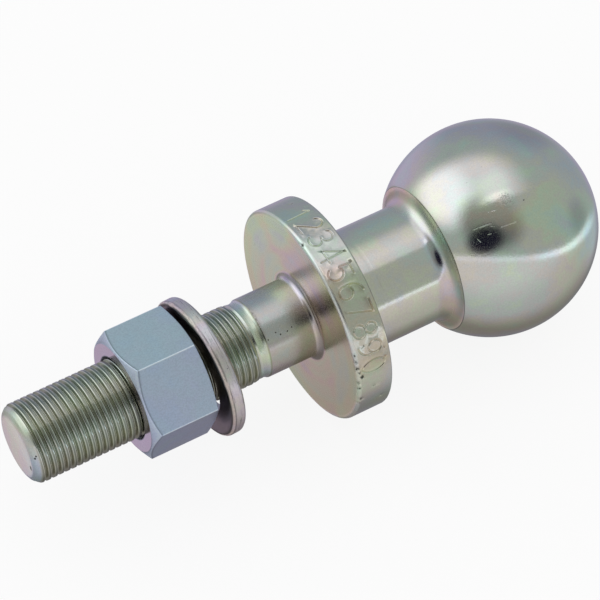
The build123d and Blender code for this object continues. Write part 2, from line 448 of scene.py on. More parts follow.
# ------------------------------------------------------------------ the ball, neck, flange and shank
def make_body():
    b = Build()
    phi_e = math.degrees(math.acos(-17.75 / 25.0))
    rows = [(-BALL_R * math.cos(math.radians(p)), BALL_R * math.sin(math.radians(p))) for p in np.linspace(0, phi_e - 0.75, 84)]
    rows[0] = (-BALL_R, 0.0)
    # crisp edge on the ball, then the hollow to the neck
    rows += [(17.66, 17.665), (17.725, 17.60), (17.748, 17.52), (17.752, 17.42)]
    rows += arc_rows(FLARE_S, NECK_R + FLARE_R, FLARE_R, 184, 270, 13)
    neck = list(np.linspace(FLARE_S + 0.5, BACK_S - 1.2, 27))
    rows += [(s, NECK_R) for s in neck[:-1]]
    # a faint turned line round the neck, near the flange
    rows = [q for q in rows if not (34.6 < q[0] < 35.9 and q[1] < 15)]
    i = max(k for k, q in enumerate(rows) if q[0] <= 34.6)
    rows[i + 1:i + 1] = [(34.75, NECK_R), (34.95, NECK_R - 0.018), (35.15, NECK_R - 0.004), (35.4, NECK_R - 0.022), (35.6, NECK_R)]
    rows += arc_rows(BACK_S - 1.2, NECK_R + 1.2, 1.2, -90, 0, 6)
    rows += [(BACK_S, r) for r in np.linspace(16.2, 24.6, 7)]
    rows += [(BACK_S, 24.98), (BACK_S + 0.015, 25.10), (BACK_S + 0.07, 25.21), (BACK_S + 0.19, 25.36),
             (BACK_S + 0.30, 25.45), (BACK_S + 0.42, RIM_R), (RIM_S0, RIM_R)]
    b.grid(lathe(rows))
    rim_patch(b)
    r3 = RIM_R - ROUND - 1.0
    rows = [(FRONT_S, r3)] + [(FRONT_S, r) for r in np.linspace(r3 - 1.2, SHANK_R + 1.5 + 0.5, 10)]
    rows += arc_rows(FRONT_S + 1.5, SHANK_R + 1.5, 1.5, 180, 270, 10)
    rows += [(s, SHANK_R) for s in np.linspace(52.2, 62.7, 26)]
    rows += [(62.86, SHANK_R - 0.005), (62.96, SHANK_R - 0.03), (63.06, SHANK_R - 0.10), (63.3, SHANK_R - 0.245), (63.55, SHANK_R - 0.375),
             (63.68, 9.075), (63.8, 9.045), (64.0, 9.025)]
    probe = Build()
    v0, v1 = helix_grid(probe, 64.4, 120.9, outer_thread)
    ring0 = outer_thread(np.full(NCOL + 1, v0), TH)
    ring1 = outer_thread(np.full(NCOL + 1, v1), TH)
    G = lathe(rows)
    last = np.stack([ring0 * np.cos(TH), ring0 * np.sin(TH), np.full(NCOL + 1, v0)], -1)[None]
    b.grid(np.concatenate([G, last], 0))
    helix_grid(b, 64.4, 120.9, outer_thread)
    first = np.stack([ring1 * np.cos(TH), ring1 * np.sin(TH), np.full(NCOL + 1, v1)], -1)[None]
    rows = [(121.02, 8.46), (121.16, 8.325), (121.27, 8.18), (121.40, 7.95), (121.52, 7.72), (121.62, 7.50), (121.70, 7.26), (121.745, 7.0),
            (121.77, 6.5), (121.79, 5.6), (121.82, 4.4), (121.85, 3.0), (121.87, 1.5), (121.88, 0.0)]
    rows = [q for q in rows if q[0] > v1 + 0.03]
    b.grid(np.concatenate([first, lathe(rows)], 0))
    return b


# ------------------------------------------------------------------ hex nut
NUT_AF, NUT_S0, NUT_S1, NUT_PSI = 27.0, 79.35, 95.6, 19.04


def hex_outline():
    """(x, y) once round the nut, with small rounded corners, and the angle of each point, increasing"""
    R = NUT_AF / 2 / math.cos(math.radians(30))
    rc = 0.32
    pts = []
    for i in range(6):
        a = math.radians(60 * i - NUT_PSI)
        a2 = math.radians(60 * (i + 1) - NUT_PSI)
        c = np.array([math.cos(a), math.sin(a)])
        ctr = c * (R - rc / math.cos(math.radians(30)))
        for t in np.linspace(-30, 30, 7):
            pts.append(ctr + rc * np.array([math.cos(a + math.radians(t)), math.sin(a + math.radians(t))]))
        A, B = pts[-1], None
        c2 = np.array([math.cos(a2), math.sin(a2)])
        B = c2 * (R - rc / math.cos(math.radians(30))) + rc * np.array([math.cos(a2 - math.radians(30)), math.sin(a2 - math.radians(30))])
        for t in (0.010, 0.022, 0.05, 0.10, 0.17, 0.26, 0.35, 0.44, 0.53, 0.62, 0.71, 0.80, 0.88, 0.94, 0.976, 0.990):
            pts.append(A + (B - A) * t)
    P = np.array(pts)
    ang = np.unwrap(np.arctan2(P[:, 1], P[:, 0]))
    # the point nearest TH0 is looked up, but the round is not restarted there
    k = int(np.argmin(np.abs(ang - (TH0 if ang[0] < TH0 else TH0 + 2 * math.pi))))
    return P, ang


def bevel(p, q, c, w, n=4):
    """points round the corner c between directions to p and q, keeping w away from it"""
    u, v = np.asarray(p, float) - c, np.asarray(q, float) - c
    u, v = u / np.linalg.norm(u), v / np.linalg.norm(v)
    a, b_ = c + u * w, c + v * w
    return [(1 - t) ** 2 * a + 2 * t * (1 - t) * np.asarray(c) + t * t * b_ for t in np.linspace(0, 1, n)]


def make_nut():
    b = Build()
    P, ang = hex_outline()
    # column angles, closed, starting at the first point
    ang0 = ang[0]
    A = np.r_[ang, ang[0] + 2 * math.pi]
    R = np.r_[np.linalg.norm(P, axis=1), np.linalg.norm(P[0])]
    cols = []
    for a, R1 in zip(A, R):
        sf = NUT_S1 - (R1 - 13.05) * math.tan(math.radians(30))
        sr = NUT_S0 + (R1 - 13.3) * math.tan(math.radians(17))
        face_f, edge_f = np.array([NUT_S1, 13.05]), np.array([sf, R1])
        face_r, edge_r = np.array([NUT_S0, 13.3]), np.array([sr, R1])
        wf = min(0.14, 0.4 * np.linalg.norm(edge_f - face_f))
        wr = min(0.12, 0.4 * max(np.linalg.norm(edge_r - face_r), 0.02))
        prof = [(NUT_S0, 10.05), (NUT_S0, 10.25), (NUT_S0, 10.9), (NUT_S0, 11.7), (NUT_S0, 12.4), (NUT_S0, 12.95)]
        prof += [tuple(x) for x in bevel((NUT_S0, 12), edge_r, face_r, wr)]
        prof += [tuple(x) for x in bevel(face_r, (NUT_S1, R1), edge_r, wr)]
        lo, hi = edge_r[0], edge_f[0]
        for t in (0.06, 0.16, 0.28, 0.4, 0.52, 0.64, 0.76, 0.88, 0.95, 0.972, 0.986):
            prof.append((lo + (hi - lo) * t, R1))
        prof += [tuple(x) for x in bevel((NUT_S0, R1), face_f, edge_f, wf)]
        prof += [tuple(x) for x in bevel(edge_f, (NUT_S1, 12), face_f, wf)]
        prof += [(NUT_S1, 12.7), (NUT_S1, 12.1), (NUT_S1, 11.4), (NUT_S1, 10.8), (NUT_S1, 10.3), (NUT_S1, 10.05)]
        cols.append([(r * math.cos(a), r * math.sin(a), s) for s, r in prof])
    G = np.array(cols).transpose(1, 0, 2)
    b.grid(G)
    # the bore: same columns, its helix measured from the same seam
    global TH0
    keep = TH0
    TH0 = ang0
    probe = Build()
    v0, v1 = helix_grid(probe, NUT_S0 + 0.06, NUT_S1 - 0.06, inner_thread, A)
    ring = lambda s: np.stack([inner_thread(np.full(len(A), s), A) * np.cos(A), inner_thread(np.full(len(A), s), A) * np.sin(A), np.full(len(A), s)], -1)[None]
    face = lambda s: np.stack([10.05 * np.cos(A), 10.05 * np.sin(A), np.full(len(A), s)], -1)[None]
    b.grid(np.concatenate([face(NUT_S0), ring(v0)], 0), flip=True)
    helix_grid(b, NUT_S0 + 0.06, NUT_S1 - 0.06, inner_thread, A, flip=True)
    b.grid(np.concatenate([ring(v1), face(NUT_S1)], 0), flip=True)
    TH0 = keep
    return b


# ------------------------------------------------------------------ spring washer
WR, WB, WT, WSPLIT = 16.65, 10.7, 3.5, 193.0


def make_washer():
    b = Build()
    rng = np.random.default_rng(11)
    # section, once round: inner lower corner, out along the flange side, up the rim, back along the nut side, down the bore
    half = WT / 2
    sec = []
    def corner(cx, cz, rad, a0, a1, n):
        for t in np.radians(np.linspace(a0, a1, n)):
            sec.append((cx + rad * math.cos(t), cz + rad * math.sin(t)))
    corner(WB + 0.28, -half + 0.28, 0.28, 180, 270, 4)
    for r in np.linspace(WB + 1.0, WR - 1.1, 5):
        sec.append((r, -half))
    corner(WR - 0.9, -half + 0.9, 0.9, 270, 360, 8)
    for z in (-0.55, -0.25, 0.05, 0.35, 0.60, 0.74):
        sec.append((WR, z))
    # the edge towards the nut is worn rounder
    for t in np.radians([0, 14, 26, 38, 50, 62, 74, 90]):
        sec.append((WR - 1.25 + 1.25 * math.cos(t), half - 0.90 + 0.90 * math.sin(t)))
    for r in np.linspace(WR - 1.6, WB + 1.0, 5):
        sec.append((r, half))
    corner(WB + 0.28, half - 0.28, 0.28, 90, 180, 4)
    for z in (0.8, 0.0, -0.8):
        sec.append((WB, z))
    sec = np.array(sec)
    th_split = -math.radians(WSPLIT)
    gap = 1.0          # half the gap, mm, measured square to the slanted cut
    N = 216
    G = []
    tdir = math.tan(math.radians(35.0))
    for k in range(N + 1):
        u = k / N
        row = []
        for r, z in sec:
            # the cut's edges, slanted through the thickness
            shift = -z * tdir
            half_ang = gap / math.cos(math.radians(35)) / r
            t0 = th_split + shift / r + half_ang
            t1 = th_split + 2 * math.pi + shift / r - half_ang
            t = t0 + (t1 - t0) * u
            row.append((r, t, z))
        G.append(row)
    G = np.array(G)
    r, t, z = G[..., 0], G[..., 1], G[..., 2]
    # slight waviness of the faces, and small bruises on the outer edges
    z = z + 0.02 * np.sin(3 * t + 0.5) * (np.abs(z) > 1.2)
    for _ in range(26):
        t_c, side = rng.uniform(-math.pi, math.pi), rng.choice([-1, 1])
        wdt, dep = rng.uniform(0.012, 0.035), rng.uniform(0.05, 0.16)
        d = np.angle(np.exp(1j * (t - t_c))) / wdt
        m = np.exp(-d * d) * smooth(r, WR - 0.7, WR - 0.15) * smooth(side * z, 0.9, 1.5)
        r = r - dep * m
        z = z - side * dep * m
    x, y = r * np.cos(t), r * np.sin(t)
    slope = np.array([0.01273, 0.04447])
    nrm = np.array([-slope[0], -slope[1], 1.0])
    nrm /= np.linalg.norm(nrm)
    xd = np.array([1.0, 0, slope[0]])
    xd /= np.linalg.norm(xd)
    yd = np.cross(nrm, xd)
    o = np.array([-0.853, -0.570, 0])
    o[2] = 76.33 + slope[0] * o[0] + slope[1] * o[1]
    P = o + x[..., None] * xd + y[..., None] * yd + z[..., None] * nrm
    P = np.concatenate([P, P[:, :1]], 1)          # close the section
    b.grid(P, flip=True)
    for row, fl in ((P[0], False), (P[-1], True)):
        c = row[:-1].mean(0)
        n = len(row) - 1
        o_ = b.add(np.vstack([row[:-1], c[None]]))
        tri = np.array([[o_ + i, o_ + (i + 1) % n, o_ + n] for i in range(n)])
        b.T.append(tri[:, ::-1] if fl else tri)
    return b


# ------------------------------------------------------------------ node helper
class V:
    """a float socket with arithmetic"""

    def __init__(self, g, sock):
        self.g, self.s = g, sock

    def _m(self, op, *a, clamp=False):
        n = self.g.t.nodes.new("ShaderNodeMath")
        n.operation, n.use_clamp = op, clamp
        for i, x in enumerate((self,) + a):
            if isinstance(x, V):
                self.g.t.links.new(x.s, n.inputs[i])
            else:
                n.inputs[i].default_value = float(x)
        return V(self.g, n.outputs[0])

    def __add__(self, o): return self._m("ADD", o)
    __radd__ = __add__
    def __mul__(self, o): return self._m("MULTIPLY", o)
    __rmul__ = __mul__
    def __sub__(self, o): return self._m("SUBTRACT", o)
    def __rsub__(self, o): return (self * -1.0) + o
    def __truediv__(self, o): return self._m("DIVIDE", o)
    def __pow__(self, o): return self._m("POWER", o)
    def sin(self): return self._m("SINE")
    def sqrt(self): return self._m("SQRT")
    def abs(self): return self._m("ABSOLUTE")
    def max(self, o): return self._m("MAXIMUM", o)
    def min(self, o): return self._m("MINIMUM", o)
    def clamp(self): return self._m("ADD", 0.0, clamp=True)
    def exp(self): return V(self.g, self._m("MULTIPLY", 1.4426950).s)._pow2()
    def _pow2(self):
        n = self.g.t.nodes.new("ShaderNodeMath")
        n.operation = "POWER"
        n.inputs[0].default_value = 2.0
        self.g.t.links.new(self.s, n.inputs[1])
        return V(self.g, n.outputs[0])

    def step(self, a, b, lo=0.0, hi=1.0):
        """smoothstep from a to b"""
        n = self.g.t.nodes.new("ShaderNodeMapRange")
        n.interpolation_type = "SMOOTHSTEP"
        self.g.t.links.new(self.s, n.inputs["Value"])
        for k, x in (("From Min", a), ("From Max", b), ("To Min", lo), ("To Max", hi)):
            n.inputs[k].default_value = x
        if a > b:
            n.inputs["From Min"].default_value, n.inputs["From Max"].default_value = b, a
            n.inputs["To Min"].default_value, n.inputs["To Max"].default_value = hi, lo
        return V(self.g, n.outputs["Result"])


class Graph:
    def __init__(self, tree):
        self.t = tree
        tree.nodes.clear()

    def new(self, kind, **kw):
        n = self.t.nodes.new(kind)
        for k, v in kw.items():
            setattr(n, k, v)
        return n

    def link(self, a, b):
        self.t.links.new(a.s if isinstance(a, V) else a, b)

    def vec(self, op, a, b=None, scale=None):
        n = self.new("ShaderNodeVectorMath", operation=op)
        for i, x in enumerate((a, b)):
            if x is None:
                continue
            if isinstance(x, (tuple, list, np.ndarray)):
                n.inputs[i].default_value = tuple(float(q) for q in x)
            else:
                self.link(x, n.inputs[i])
        if scale is not None:
            if isinstance(scale, V):
                self.link(scale, n.inputs["Scale"])
            else:
                n.inputs["Scale"].default_value = scale
        if op in ("DOT_PRODUCT", "LENGTH", "DISTANCE"):
            return V(self, n.outputs["Value"])
        return n.outputs["Vector"]

    def noise(self, vec, scale, detail=4.0, rough=0.55, dist=0.0):
        n = self.new("ShaderNodeTexNoise")
        self.link(vec, n.inputs["Vector"])
        n.inputs["Scale"].default_value = scale
        n.inputs["Detail"].default_value = detail
        n.inputs["Roughness"].default_value = rough
        n.inputs["Distortion"].default_value = dist
        return V(self, n.outputs["Fac"])

    def mix(self, fac, a, b, mode="MIX"):
        n = self.new("ShaderNodeMix", data_type="RGBA", blend_type=mode)
        for sock, x in ((n.inputs[0], fac), (n.inputs[6], a), (n.inputs[7], b)):
            if isinstance(x, V):
                self.link(x, sock)
            elif isinstance(x, (int, float)):
                sock.default_value = float(x) if sock == n.inputs[0] else (x, x, x, 1)
            elif isinstance(x, (tuple, list)):
                sock.default_value = (*x[:3], 1.0)
            else:
                self.link(x, sock)
        return n.outputs[2]

    def attr(self, name):
        return self.new("ShaderNodeAttribute", attribute_name=name, attribute_type="GEOMETRY")

    def xyz(self, vec):
        n = self.new("ShaderNodeSeparateXYZ")
        self.link(vec, n.inputs[0])
        return [V(self, n.outputs[i]) for i in range(3)]

    def join(self, x, y, z):
        n = self.new("ShaderNodeCombineXYZ")
        for i, q in enumerate((x, y, z)):
            if isinstance(q, V):
                self.link(q, n.inputs[i])
            else:
                n.inputs[i].default_value = q
        return n.outputs[0]


def srgb(r, g, b):
    f = lambda c: (c / 255 / 12.92) if c / 255 <= 0.04045 else ((c / 255 + 0.055) / 1.055) ** 2.4
    return (f(r), f(g), f(b))


# ------------------------------------------------------------------ materials
def new_material(name):
    m = bpy.data.materials.new(name)
    m.use_nodes = True
    return m, Graph(m.node_tree)


def spots(g, L, places):
    """0 to 1 inside small round spots at places (x, y, s, radius)"""
    out = None
    for x, y, s, r in places:
        d = g.vec("DISTANCE", L, (x, y, s))
        m = d.step(r, 0.45 * r)
        out = m if out is None else out.max(m)
    return out


def segment_mask(g, L, A, B, w):
    """1 along the line from A to B, fading out at w"""
    A, B = np.array(A, float), np.array(B, float)
    d = B - A
    rel = g.vec("SUBTRACT", L, A)
    t = (g.vec("DOT_PRODUCT", rel, d / (d @ d))).clamp()
    near = g.vec("SUBTRACT", rel, g.vec("SCALE", tuple(d), scale=t))
    return g.vec("LENGTH", near).step(w, 0.3 * w)


def on(s, deg, r):
    t = math.radians(deg)
    return (r * math.cos(t), r * math.sin(t), s)


# the studio's own axes: towards the tent's opening, to its side and upwards
PLATE = (0.80, 0.805, 0.64)
OPENING = np.array([-0.29290194, -0.40811769, 0.62402423])
OPENING /= np.linalg.norm(OPENING)
SIDE = np.array([0.85949415, -0.51114559, 0.0])
SIDE -= OPENING * (SIDE @ OPENING)
SIDE /= np.linalg.norm(SIDE)
TOP = np.cross(OPENING, SIDE)


def on_ball(a, b):
    """point of the ball's surface, a to the side and b up, in the stem's frame"""
    n = a * SIDE + b * TOP + math.sqrt(max(0.0, 1 - a * a - b * b)) * OPENING
    return (BALL_R * float(n @ UP), BALL_R * float(n @ YY), BALL_R * float(n @ E))


SCRATCHES = [((-0.139, -0.018), (-0.040, 0.018), 0.20), ((-0.055, 0.012), (0.019, 0.040), 0.26), ((0.110, 0.0055), (0.233, 0.050), 0.20),
             ((0.226, 0.046), (0.238, 0.053), 0.42), ((-0.002, 0.142), (0.053, 0.156), 0.20), ((-0.150, -0.243), (-0.128, -0.243), 0.20),
             ((-0.10, -0.10), (-0.07, -0.13), 0.12), ((-0.01, -0.06), (0.03, -0.05), 0.12), ((0.02, 0.015), (0.05, 0.01), 0.14)]
SPOTS = [(*on(59.25, -45.1, 9.48), 0.24), (*on(57.5, -44.9, 9.48), 0.22), (*on(62.4, -45.0, 9.48), 0.23), (*on(60.15, -40.1, 9.48), 0.22),
         (*on(56.2, -42.5, 9.48), 0.20), (*on(121.78, -89.0, 6.30), 0.50), (*on(121.78, -93.5, 6.45), 0.50), (*on(121.05, -61.0, 8.45), 0.34), (*on(120.75, -57.5, 8.70), 0.30), (*on(54.6, 71.0, 9.6), 0.24),
         (*on(36.2, 27.0, 14.05), 0.20), (*on(39.3, 33.0, 14.05), 0.15), (*on_ball(0.31, 0.247), 0.22)]


def film(g, L, phase_v, amp, base):
    """base colour whose three channels drift out of step with the film's thickness"""
    ch = []
    for k, c in enumerate(base):
        n = g.new("ShaderNodeMath", operation="COSINE")
        g.link((phase_v + k * 0.31) * (2 * math.pi), n.inputs[0])
        ch.append(V(g, n.outputs[0]) * amp * c + c)
    n = g.new("ShaderNodeCombineColor")
    for i in range(3):
        g.link(ch[i], n.inputs[i])
    return n.outputs[0]


def plated(name, base, amp, rough, peel, grain, specks, kind):
    """Zinc plate: satin metal whose thin passivate film drifts between a few pale colours."""
    m, g = new_material(name)
    out = g.new("ShaderNodeOutputMaterial")
    p = g.new("ShaderNodeBsdfPrincipled")
    g.link(p.outputs[0], out.inputs[0])
    p.inputs["Metallic"].default_value = 1.0
    p.inputs["Specular Tint"].default_value = {"body": (1.0, 0.96, 0.97, 1), "nut": (1.0, 0.95, 1.0, 1), "washer": (1.0, 0.92, 0.95, 1)}[kind]
    L = g.attr("L").outputs["Vector"]
    x, y, s = g.xyz(L)
    sep = g.new("ShaderNodeSeparateColor")
    g.link(g.attr("Mask").outputs["Color"], sep.inputs[0])
    dirt, rgh, filmy = [V(g, sep.outputs[i]) for i in range(3)]
    # film thickness: slow drift, broken up finely
    slow = g.noise(L, 0.050, 2.0, 0.45, 0.5)
    mid = g.noise(g.vec("ADD", L, (31, 7, 13)), 0.22, 3.0, 0.55, 0.3)
    fine = g.noise(g.vec("ADD", L, (-17, 41, 5)), 1.1, 4.0, 0.65)
    ph = slow * 2.6 + mid * 1.1 + fine * 0.55
    rad_px = (x * x + y * y).sqrt()
    if kind == "body":
        # the front face's film follows the turning
        on_face = (s - FRONT_S).abs().step(0.08, 0.02) * rad_px.step(11.0, 11.6)
        ph = ph + (g.noise(g.join(rad_px, 0.0, 0.0), 0.22, 1.0, 0.4) * 1.3 - fine * 0.40 - mid * 0.8 - slow * 0.5) * on_face
    on_thr = s.step(64.8, 66.5) * s.step(120.6, 119.9)
    calm = on_thr * 0.6 if kind == "body" else 0.0
    col = film(g, L, ph, (filmy * 2.0 + 1.0 - calm) * amp, base)
    col = g.mix(1.0, col, g.attr("Tint").outputs["Color"], "MULTIPLY")
    # fine mottling of the plate
    mott = g.noise(L, 2.6, 4.0, 0.7)
    low = {"body": 0.93, "nut": 0.86, "washer": 0.88}[kind]
    col = g.mix(mott.step(0.30, 0.66), g.mix(1.0, col, (low, low, low), "MULTIPLY"), col)
    wear, soft = None, None
    if kind == "body":
        # the thread: place across one turn, 0 on a crest, to half a turn either way
        ang = g.new("ShaderNodeMath", operation="ARCTAN2")
        g.link(y, ang.inputs[0])
        g.link(x, ang.inputs[1])
        q = (s - CREST_REF_S) * (1 / PITCH) - (V(g, ang.outputs[0]) - CREST_REF_TH) * (0.5 / math.pi) + 0.5
        q = q._m("FRACT") - 0.5
        streak = g.noise(g.join(V(g, ang.outputs[0]) * 2.2, q * 3.0 + s * 0.9, 0.0), 1.6, 3.0, 0.6)
        k_root = q.abs().step(0.27, 0.40)
        k_far = q.step(-0.28, -0.38)
        k_mid = q.abs().step(0.175, 0.095)
        k_up = (q - 0.205).abs().step(0.060, 0.020)
        k_dn = (q + 0.170).abs().step(0.065, 0.020)
        # tones across each turn: the whole thread a little darker; painted shade in the roots, deeper on one flank; a
        # dark painted reflection along the middle of each crest; one crest edge a little lighter and the other a little
        # darker, as painted light and shade; random dark streaks
        tone = g.mix(on_thr, (1, 1, 1), (0.80, 0.82, 0.82))
        tone = g.mix(on_thr * k_root, tone, (0.77, 0.80, 0.76))
        tone = g.mix(on_thr * k_far, tone, (0.50, 0.51, 0.55))
        tone = g.mix(on_thr * k_mid * 0.85, tone, (0.36, 0.38, 0.36))
        tone = g.mix(on_thr * k_dn * 0.8 * streak.step(0.28, 0.50), tone, (1.06, 1.06, 1.09))
        tone = g.mix(on_thr * k_up * 0.9 * streak.step(0.20, 0.44), tone, (0.90, 0.91, 0.93))
        tone = g.mix(on_thr * streak.step(0.62, 0.75) * 0.5, tone, (0.45, 0.45, 0.43))
        col = g.mix(1.0, col, tone, "MULTIPLY")
        soft = on_thr * (k_root * 0.07 + 0.01)
        # light scratches on the crown of the ball
        for (a0, b0), (a1, b1), w in SCRATCHES:
            k = segment_mask(g, L, on_ball(a0, b0), on_ball(a1, b1), w)
            wear = k if wear is None else wear.max(k)
        broken = g.noise(L, 2.4, 2.0, 0.6).step(0.36, 0.52)
        wear = wear * broken
    # dark grime: a few specks, and where the mask puts it
    sp = g.noise(g.vec("ADD", L, (9, 3, 77)), 2.3, 2.0, 0.5)
    speck = sp.step(0.755, 0.80) * specks
    dirt_n = (dirt * 1.6 * g.noise(L, 1.5, 5.0, 0.75).step(0.34, 0.64)).clamp()
    dark = speck.max(dirt_n)
    if kind == "body":
        dark = dark.max(spots(g, L, SPOTS))
    if kind == "body":
        core = g.vec("DISTANCE", L, on_ball(-0.01, -0.08)).step(6.5, 2.5)
        fleck = g.noise(g.vec("MULTIPLY", L, (5.0, 3.2, 5.0)), 1.0, 3.0, 0.7).step(0.60, 0.74)
        wear = wear.max(core * fleck * 0.42)
        smudge = g.vec("DISTANCE", L, on_ball(0.15, 0.245)).step(2.4, 0.8) * g.noise(L, 1.9, 4.0, 0.75).step(0.48, 0.60)
        dark = dark.max(smudge * 0.42)
    if kind == "washer":
        # long marks round the ring, dark and light
        ang = g.new("ShaderNodeMath", operation="ARCTAN2")
        g.link(y + 0.570, ang.inputs[0])
        g.link(x + 0.853, ang.inputs[1])
        rad_w = ((x + 0.853) * (x + 0.853) + (y + 0.570) * (y + 0.570)).sqrt()
        lines = g.noise(g.join(V(g, ang.outputs[0]) * 1.6, rad_w * 1.5, s * 1.5), 1.7, 4.0, 0.75)
        outer = rad_w.step(14.6, 15.6)
        dark = dark.max(lines.step(0.56, 0.66) * outer * 0.55)
        col = g.mix(lines.step(0.44, 0.36) * outer * 0.6, col, g.mix(1.0, col, (1.28, 1.22, 1.12), "MULTIPLY"))
    col = g.mix(dark * 0.88, col, (0.030, 0.027, 0.022))
    g.link(col, p.inputs["Base Color"])
    rr = g.noise(L, 0.30, 4.0, 0.6)
    micro = g.noise(L, 4.0, 3.0, 0.7).step(0.50, 0.72)
    r_all = rough + (rr - 0.5) * (0.25 * rough) + micro * (0.45 * rough) + rgh * 0.40 + dark * 0.30
    if wear is not None:
        r_all = r_all + wear * 0.36 + soft
    g.link(r_all, p.inputs["Roughness"])
    # height in mm: orange peel, and the lines that turning leaves round the stem
    b1 = g.new("ShaderNodeBump")
    b1.inputs["Strength"].default_value = 1.0
    b1.inputs["Distance"].default_value = 0.001
    h = g.noise(L, 1.4, 3.0, 0.6) * peel + g.noise(L, 3.6, 3.0, 0.65) * grain - dark * 0.012
    if kind == "body":
        off_ball = s.step(20.0, 24.0)
        h = h + g.noise(g.join(s, 0.0, 0.0), 3.2, 3.0, 0.7) * off_ball * 0.0016
        h = h - wear * 0.010
    g.link(h, b1.inputs["Height"])
    g.link(b1.outputs[0], p.inputs["Normal"])
    return m


def gauss(P, centre, rad, flat=None):
    d = (P - np.array(centre)) / np.array(rad)
    return np.exp(-(d * d).sum(1))


def body_masks(P, N):
    s, r, th = P[:, 2], np.hypot(P[:, 0], P[:, 1]), np.degrees(np.arctan2(P[:, 1], P[:, 0]))
    x, y = P[:, 0], P[:, 1]
    tint = np.ones((len(P), 3))
    rough, filmy, dirt = np.zeros(len(P)), np.zeros(len(P)), np.zeros(len(P))

    def mix(w, col):
        tint[:] = tint * (1 - w[:, None]) + np.array(col) * w[:, None]

    def mul(w, col):
        tint[:] = tint * (1 - w[:, None] * (1 - np.array(col, float)))

    # hollow behind the ball: green lip, a little darkened as a painted reflection, bluish white middle, pink at its
    # top, brownish at its bottom
    hollow = (s > 17.73) * (1 - smooth(s, 21.0, 22.6)) * (r < 17.5)
    mix(hollow * (1 - smooth(s, 18.2, 19.6)) * (1 - smooth(th, 2, 20)), (0.78, 0.92, 0.90))
    mix(0.8 * hollow * smooth(s, 18.6, 19.8), (0.90, 0.98, 1.12))
    mix(0.75 * hollow * smooth(th, 14, 30), (1.0, 0.86, 0.90))
    mix(0.7 * hollow * (1 - smooth(th, -62, -46)) * smooth(s, 18.0, 18.8), (0.98, 0.86, 0.94))
    mix(0.7 * hollow * (1 - smooth(th, -86, -72)), (0.92, 0.80, 0.77))
    # a dark line along the crisp edge between ball and hollow, fainter towards the top: painted shade
    mul((s > 17.70) * (s < 17.75) * (r > 17.48) * (r < 17.62) * (1 - 0.5 * smooth(th, 0, 25)), (0.25, 0.25, 0.25))
    filmy += 0.15 * hollow
    rough += 0.50 * hollow * np.maximum(1 - smooth(s, 18.6, 19.8), 0.8 * smooth(th, 5, 20))
    # flange front face: pale at the top, darker and olive towards the underside: a painted shade gradient
    face = (s > 50.3) * (s < 50.37) * (r > 10.9)
    t = np.clip(((17 - x) * 23.5 + (14 - y) * 34) / 1708, 0, 1)
    full = np.array([0.86, 0.93, 0.86])[None] * (1 - t[:, None]) + np.array([0.55, 0.53, 0.47])[None] * t[:, None]
    tint[:] = np.where(face[:, None], full, tint)
    mul(0.8 * face * smooth(r, 20.4, 22.4), (0.97, 1.05, 0.88))
    mul(face * gauss(P, (14.3, -7.7, 50.35), (5.5, 5.5, 3)), (1.10, 0.93, 1.32))
    mul(0.5 * face * np.exp(-((r - 16.5) / 1.6) ** 2) * (1 - smooth(t, 0.2, 0.6)), (1.02, 0.93, 1.06))
    filmy += 0.30 * face
    rough += 0.30 * face
    # fillet: darkened as painted shade in the crease, lavender above, pinkish tan below
    fil = (s > 50.36) * (s < 51.84) * (r > 9.5) * (r < 11.0)
    near = smooth(s, 50.9, 51.4)
    mix(fil * smooth(th, -24, -6), (0.66, 0.64, 0.78))
    # brighter next to the shank: painted highlight
    mix(fil * smooth(th, -48, -40) * near, (1.16, 1.15, 1.34))
    mix(fil * (1 - smooth(th, -24, -6)), (0.66, 0.60, 0.62))
    mix(fil * (1 - smooth(th, -48, -40)) * near, (0.94, 0.86, 0.88))
    # brighter towards the top: painted highlight; darker towards the bottom: painted shade
    mul(fil * smooth(th, 30, 50), (1.35, 1.35, 1.20))
    mul(fil * smooth(-th, 60, 90), (0.90, 0.90, 0.90))
    rough += 0.25 * fil
    # shank
    sh = (s > 51.8) * (s < 62.9) * (r < 9.5) * 1.0
    mix(sh, (0.85, 0.86, 0.90))
    # the underside a little darker and pinker: painted shade
    mul(sh * (1 - smooth(th, -54, -46)), (0.96, 0.87, 0.93))
    rough += 0.28 * sh
    dirt += 0.30 * sh * np.exp(-((th - 52) / 22) ** 2) * (1 - smooth(s, 60.5, 62.5))
    dirt += 0.40 * smooth(s, 62.2, 62.7) * (1 - smooth(s, 63.0, 63.4)) * np.exp(-((th + 15) / 22) ** 2)
    # run-out ring: yellow-green, bluish towards the top, lilac below
    ring = smooth(s, 62.92, 63.2) * (1 - smooth(s, 64.6, 65.9))
    mix(ring, (0.98, 1.10, 0.97))
    mix(ring * smooth(th, 8, 24), (0.98, 1.06, 1.13))
    mix(ring * (1 - smooth(th, -88, -66)), (0.90, 0.94, 1.02))
    # a dark line where the shank meets the run-out: painted shade
    mul(np.exp(-((s - 63.0) / 0.10) ** 2) * (s > 62.8), (0.45, 0.47, 0.36))
    rough += 0.35 * ring
    # thread near its underside: a little brown
    thr = smooth(s, 64.8, 66.5) * (1 - smooth(s, 119.9, 120.6))
    mul(thr * (1 - smooth(th, -84, -70)), (1.0, 0.95, 0.88))
    # turned end: pale bevel, end face pink on one side
    bev = smooth(s, 120.3, 120.7) * smooth(r, 6.4, 7.2)
    mix(bev * smooth(th, -5, 15), (1.00, 1.06, 1.14))
    mix(bev * (1 - smooth(th, -5, 15)), (0.96, 1.00, 1.00))
    mix(bev * (1 - smooth(th, -70, -50)), (0.90, 0.98, 1.20))
    rough += 0.60 * bev
    end = (s > 121.6) * (1 - smooth(r, 6.5, 7.3))
